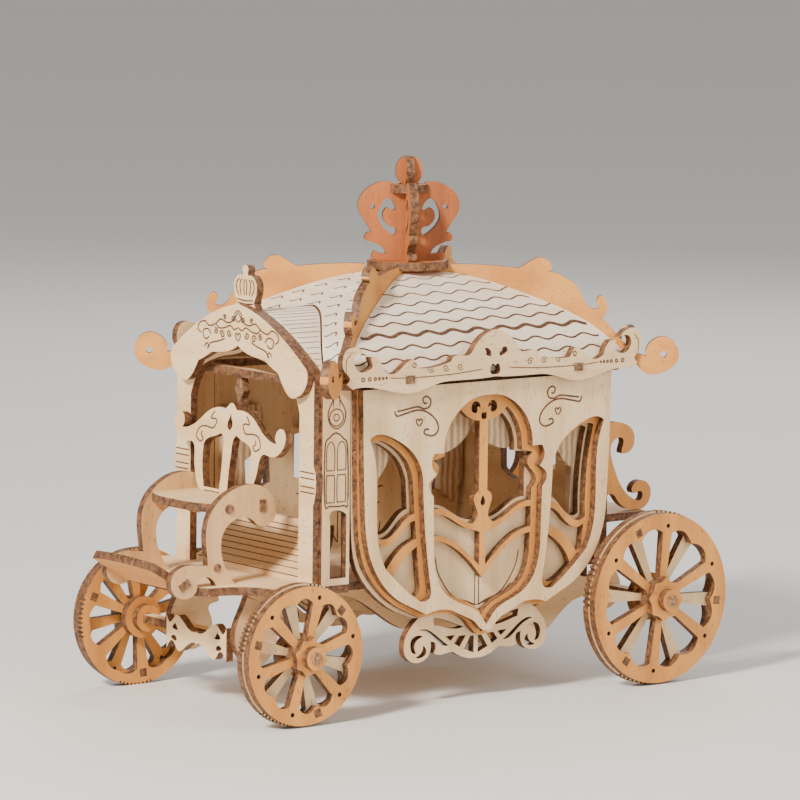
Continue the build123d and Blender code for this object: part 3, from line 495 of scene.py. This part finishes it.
# outlines in mm; sideways ones are (x from the doors' middle, z), those of the front and rear (y, z)
SCROLL = [(28.2, 71.5), (27.5, 70.2), (25.1, 70.6), (21.5, 71.2), (18.5, 70.5), (15.9, 68.4), (15.3, 66.1),
          (16.9, 64.9), (19.3, 65.5), (19.1, 66.5), (17.9, 66.4)]
CURL = [(27.5, 71.2), (24.7, 71.6), (21.5, 72.0), (19.6, 71.4), (18.0, 71.8), (17.6, 73.3), (18.8, 74.3),
        (19.9, 73.8), (19.5, 72.7), (18.7, 72.8)]
LEAF = [(10.3, 27.2), (8.2, 25.5), (5.4, 24.5), (2.6, 23.7), (0.5, 22.7)]
INNER_LEAF = [(8.7, 25.4), (6.8, 23.8), (4.0, 22.5), (0.2, 21.7)]
DOOR_LEAF = [(12.6, 35.2), (11.6, 31.2), (8.1, 26.2), (4.2, 23.9), (0.0, 22.8)]
WINDOW = [(38.6, 50.4), (38.8, 63.0), (40.0, 65.4), (42.1, 66.8), (44.0, 65.8), (45.3, 63.4), (45.2, 50.5),
          (43.7, 49.7), (39.8, 49.6)]
DROP = [(42.1, 76.0), (43.3, 74.2), (44.5, 71.5), (43.9, 68.9), (42.0, 67.8), (40.0, 68.9), (39.5, 71.6),
        (40.9, 74.2)]
LONG_LINE = [(31.4, 79.6), (27.2, 79.3), (20, 79.2), (12, 79.4), (4, 80)]
END_LINE = [(43.2, 80), (43.9, 82), (43.8, 84.4), (42.4, 85.8)]
DOOR_BANDS = [[(13.4, 44.0), (10.2, 43.2), (6.2, 39.8), (2.6, 34.0), (0.6, 30.5)],
              [(12.4, 40.0), (9.4, 38.6), (5.4, 34.0), (0.6, 27.0)]]
BEADS = ((39.0, 0.42), (37.1, 0.37), (35.5, 0.32), (34.3, 0.27), (33.2, 0.22), (32.2, 0.18))
PANES = ((50.6, 56.9, 0.0), (58.1, 63.2, 1.3))      # lowest, highest, and rise of the middle

for side, word in ((1, "left"), (-1, "right")):
    lines = Lines(f"valance_lines_{word}")
    board = f"valance_{word}"
    for end in (1, -1):
        for x, radius in BEADS:
            lines.side(board, circle(end * x, 79.6, radius), side, 0.3, True)
        lines.side(board, [(end * x, z) for x, z in LONG_LINE], side, 0.2)
        lines.side(board, circle(end * 24.1, 82.1, 0.5), side, 0.25, True)
        for x in (10.5, 14.8, 19.2):
            lines.side(board, swirl(end * x, 81.0, 0.9, 200 * end, end), side, 0.2)
        lines.side(board, [(end * x, z) for x, z in END_LINE], side, 0.2)
    lines.make()

    lines = Lines(f"frame_lines_{word}")
    for shape in (SCROLL, CURL):
        for points in (shape, flipped(shape)):
            lines.side(f"side_frame_{word}", points, side, 0.42)
    for end in (1, -1):
        lines.side(f"side_frame_{word}", heart(end * 20.9, 68.3, 0.9), side, 0.35, True)
    for shape in (LEAF, INNER_LEAF, DOOR_LEAF):
        for points in (shape, flipped(shape)):
            lines.side(f"side_panel_{word}", points, side, 0.3)
    for x in (-0.6, 0.6):
        lines.side(f"side_panel_{word}", [(x, 22.8), (x, 41.5)], side, 0.25)
    lines.make()

    lines = Lines(f"inner_wall_lines_{word}")
    wall = f"side_panel_{word}"
    for shape in (LEAF, INNER_LEAF, DOOR_LEAF, *DOOR_BANDS):
        for points in (shape, flipped(shape)):
            lines.inside(wall, points, side, 0.34)
    for x in (-0.6, 0.6):
        lines.inside(wall, [(x, 22.8), (x, 42.5)], side, 0.3)
    lines.make()

    lines = Lines(f"vestibule_lines_{word}")
    lines.side("vestibule_panels", WINDOW, side, 0.34, True)
    for low, high, rise in PANES:
        for left, right in ((39.3, 41.7), (42.5, 44.8)):
            middle = (left + right) / 2
            pane = [(left + 0.4, low), (right - 0.4, low), (right, low + 0.4), (right, high - 0.4),
                    (middle + 0.5, high + rise), (middle - 0.5, high + rise), (left, high - 0.4),
                    (left, low + 0.4)]
            lines.side("vestibule_panels", pane, side, 0.24, True)
    lines.side("vestibule_panels", DROP, side, 0.3, True)
    lines.side("vestibule_panels", circle(42.1, 70.4, 2.0), side, 0.3, True)
    lines.side("vestibule_panels", circle(42.1, 70.4, 0.8), side, 0.25, True)
    for x in (41.2, 43.0):
        lines.side("vestibule_panels", [(x, 75.6), (x, 72.8)], side, 0.25)
    lines.make()

SIGN_SHAPES = (
    [(14.9, 86.6), (16.3, 87.6), (15.6, 89.0), (13.5, 89.6), (11.9, 88.7), (9.4, 89.2), (7.0, 90.6),
     (4.4, 90.0), (2.2, 90.6), (0.0, 92.8)],
    [(10.8, 86.5), (12.1, 87.8), (14.1, 87.4), (14.0, 85.9), (12.8, 85.4), (11.6, 86.2)],
    [(9.0, 89.6), (7.8, 88.5), (5.4, 88.7), (3.2, 89.4), (1.6, 88.6), (0.0, 89.2)],
    [(13.6, 83.4), (12.8, 84.4), (11.8, 83.8), (12.4, 83.2), (11.0, 84.6), (7.6, 85.4), (5.2, 86.2)],
    swirl(6.4, 87.0, 1.0, 0), swirl(3.6, 87.6, 0.9, 180), swirl(9.0, 87.6, 0.8, 60),
    swirl(2.0, 91.2, 0.7, 200), swirl(5.4, 91.2, 0.6, 10),
    [(0.0, 90.4), (1.1, 91.2), (1.3, 92.4), (0.0, 93.3)],
)

lines = Lines("sign_lines")
for points in SIGN_SHAPES:
    lines.front("sign_plate", points, 0.36)
    lines.front("sign_plate", flipped(points), 0.36)
lines.front("sign_plate", heart(0.0, 87.0, 1.0), 0.34, True)
# ribs and band of the little crown over the sign
for y in (0.55, 2.1, 3.5):
    for end in (1, -1):
        finger = [(end * y * 0.72, 96.6), (end * y, 98.2), (end * y * 0.94, 99.8),
                  (end * (y * 0.7 - 0.2), 100.5)]
        lines.front("portal_frame", finger, 0.34)
for z in (94.0, 94.9, 95.7):
    lines.front("portal_frame", [(-3.3, z), (0.0, z - 0.25), (3.3, z)], 0.3)
# level cuts in the portal's two sides
for y in (22.3, -28.3):
    for z in (52.9, 54.2, 56.2, 57.6):
        lines.front("portal_frame", [(y, z), (y + 6.0, z)], 0.3)
lines.make()

BACK_SCROLL = [(6.3, 69.1), (7.1, 68.4), (7.7, 67.3), (6.2, 67.3), (5.3, 66.9), (5.7, 65.9), (6.8, 65.0),
               (9.4, 65.2), (11.4, 64.9), (12.5, 63.9), (12.9, 62.4), (11.2, 61.4), (10.1, 62.2),
               (11.1, 63.1), (10.6, 63.9)]
SEAT_TOP = span("seat_board")[1].z
leaning = [(y, SEAT_TOP + (v - SEAT_TOP) * cos(radians(SEAT_LEAN))) for y, v in BACK_SCROLL]
lines = Lines("seat_back_lines")
for points in (leaning, flipped(leaning)):
    lines.front("seat_back", points, 0.36)
    lines.rear("seat_back", points, 0.36)
lines.make()

FIRST_KERF = 32.2
KERF_PITCH = 1.25
KERF_END = 21.6
lines = Lines("riser_kerfs")
for k in range(9):
    z = FIRST_KERF + k * KERF_PITCH
    lines.front("vestibule_riser", [(-KERF_END, z), (KERF_END, z)], 0.22)
lines.make()


# ---- slits of the bent roof sheets ----

WAVE = 7.4           # length of one wave of a long slit, in mm
WAVE_STEP = 0.6      # spacing of its points
ROWS = ((9.4, 12.0, 0.3), (12.6, 15.0, 0.34), (15.6, 21.0, 0.36), (18.6, 22.5, 0.42), (21.4, 28.0, 0.42),
        (24.0, 29.5, 0.46), (26.4, 34.0, 0.85), (28.7, 36.0, 0.46), (30.6, 39.0, 0.42))
TICK_ROWS = (11.5, 15.5, 19.5, 23.5, 27.0, 30.5, 33.5, 36.2, 38.6, 41.0, 43.0)
TICK = ((0.9, -2.4), (0.7, -1.2), (-0.2, -0.4), (-0.5, 0.4), (0.4, 1.4))
TICK_PITCH = 7.6


def wavy_row(lines, name, place, half, phase, width, swing):
    """One long, evenly waved slit across a roof slope, at place (mm) out from the middle."""
    count = int(2 * half / WAVE_STEP)
    points = []
    for k in range(count + 1):
        u = -half + 2 * half * k / count
        points.append((DOOR_X + u, place + swing * sin(phase + 2 * pi * u / WAVE)))
    lines.above(name, points, width)


def side_slits(word, side):
    """The rows of a side slope. A row has its place, half its length and its width; lower rows are
    flatter."""
    lines = Lines(f"roof_{word}_slits")
    for k, (place, half, width) in enumerate(ROWS):
        wavy_row(lines, f"roof_{word}", side * place, half, 0.9 * k, width, 0.62 - 0.045 * k)
    lines.make()


def tick_slits(title, name, end):
    """Short hooked slits in staggered rows, like the corners of scalloped tiles; end is +1 or -1 along X."""
    lines = Lines(title)
    for row, place in enumerate(TICK_ROWS):
        shift = TICK_PITCH / 2 * (row % 2)
        for k in range(-6, 7):
            y = k * TICK_PITCH + shift
            points = [(DOOR_X + end * (place + dx), y + dy) for dx, dy in TICK]
            lines.above(name, points, 0.4)
    lines.make()


tick_slits("roof_front_slits", "roof_front", 1)
tick_slits("roof_rear_slits", "roof_rear", -1)
side_slits("left", 1)
side_slits("right", -1)

VAULT_FRONT = 47.0   # where the slits end, in mm from the doors' middle
VAULT_PITCH = 1.7
lines = Lines("vault_slits")
for k in range(-15, 16):
    y = k * VAULT_PITCH
    length = 30.0 - 0.2 * abs(k)
    ends = (DOOR_X + VAULT_FRONT - length, DOOR_X + VAULT_FRONT - 3.0 * (k % 2))
    lines.above("vault_sheet", [(x, y) for x in ends], 0.2)
lines.make()


# ---- setting, light and camera ----

FLOOR_HALF = 14      # in metres
corners = [(FLOOR_HALF * x, FLOOR_HALF * y, 0) for x, y in ((-1, -1), (1, -1), (1, 1), (-1, 1))]
floor_mesh = bpy.data.meshes.new("floor")
floor_mesh.from_pydata(corners, [], [(0, 1, 2, 3)])
floor = bpy.data.objects.new("floor", floor_mesh)
bpy.context.scene.collection.objects.link(floor)
floor_paint, _, floor_shader = new_material("pale_floor")
floor_shader.inputs["Base Color"].default_value = (0.80, 0.78, 0.75, 1)
floor_shader.inputs["Roughness"].default_value = 0.8
floor_mesh.materials.append(floor_paint)

world = bpy.data.worlds.new("studio")
world.use_nodes = True
background = next(n for n in world.node_tree.nodes if n.type == "BACKGROUND")
background.inputs[0].default_value = (1.0, 0.98, 0.95, 1)
background.inputs[1].default_value = 0.48
bpy.context.scene.world = world


def area_light(name, place, target, size, power, colour=(1, 1, 1)):
    """A square lamp that is turned to the target; size and places in metres, power in watts."""
    data = bpy.data.lights.new(name, "AREA")
    data.size = size
    data.energy = power
    data.color = colour
    lamp = bpy.data.objects.new(name, data)
    lamp.location = place
    lamp.rotation_euler = (Vector(target) - Vector(place)).to_track_quat("-Z", "Y").to_euler()
    bpy.context.scene.collection.objects.link(lamp)


MIDDLE = (0, 0, 0.06)
area_light("key", (0.72, 0.26, 0.60), MIDDLE, 0.14, 15.0, (1.0, 0.94, 0.85))
area_light("fill", (-0.30, 0.85, 0.45), MIDDLE, 0.6, 4.0, (1.0, 0.96, 0.90))
area_light("rim", (-0.6, -0.5, 0.6), MIDDLE, 0.5, 3.0)

# the camera that fits the photo; eye and aim in mm, and the picture is rolled a little
eye = Vector((729.5 + DOOR_X, 950.65, 214.1)) * MM
aim = Vector((1.86 + DOOR_X, 0, 68.98)) * MM
roll = radians(0.69)
ahead = (aim - eye).normalized()
right = ahead.cross(Vector((0, 0, 1))).normalized()
up = right.cross(ahead)
tilted_right = right * cos(roll) + up * sin(roll)
tilted_up = up * cos(roll) - right * sin(roll)
camera_data = bpy.data.cameras.new("camera")
camera_data.sensor_width = 36
camera_data.lens = 225
camera_data.clip_end = 10
camera = bpy.data.objects.new("camera", camera_data)
turn = Matrix((tilted_right, tilted_up, -ahead)).transposed().to_4x4()
camera.matrix_world = Matrix.Translation(eye) @ turn
bpy.context.scene.collection.objects.link(camera)
bpy.context.scene.camera = camera

bpy.context.view_layer.update()
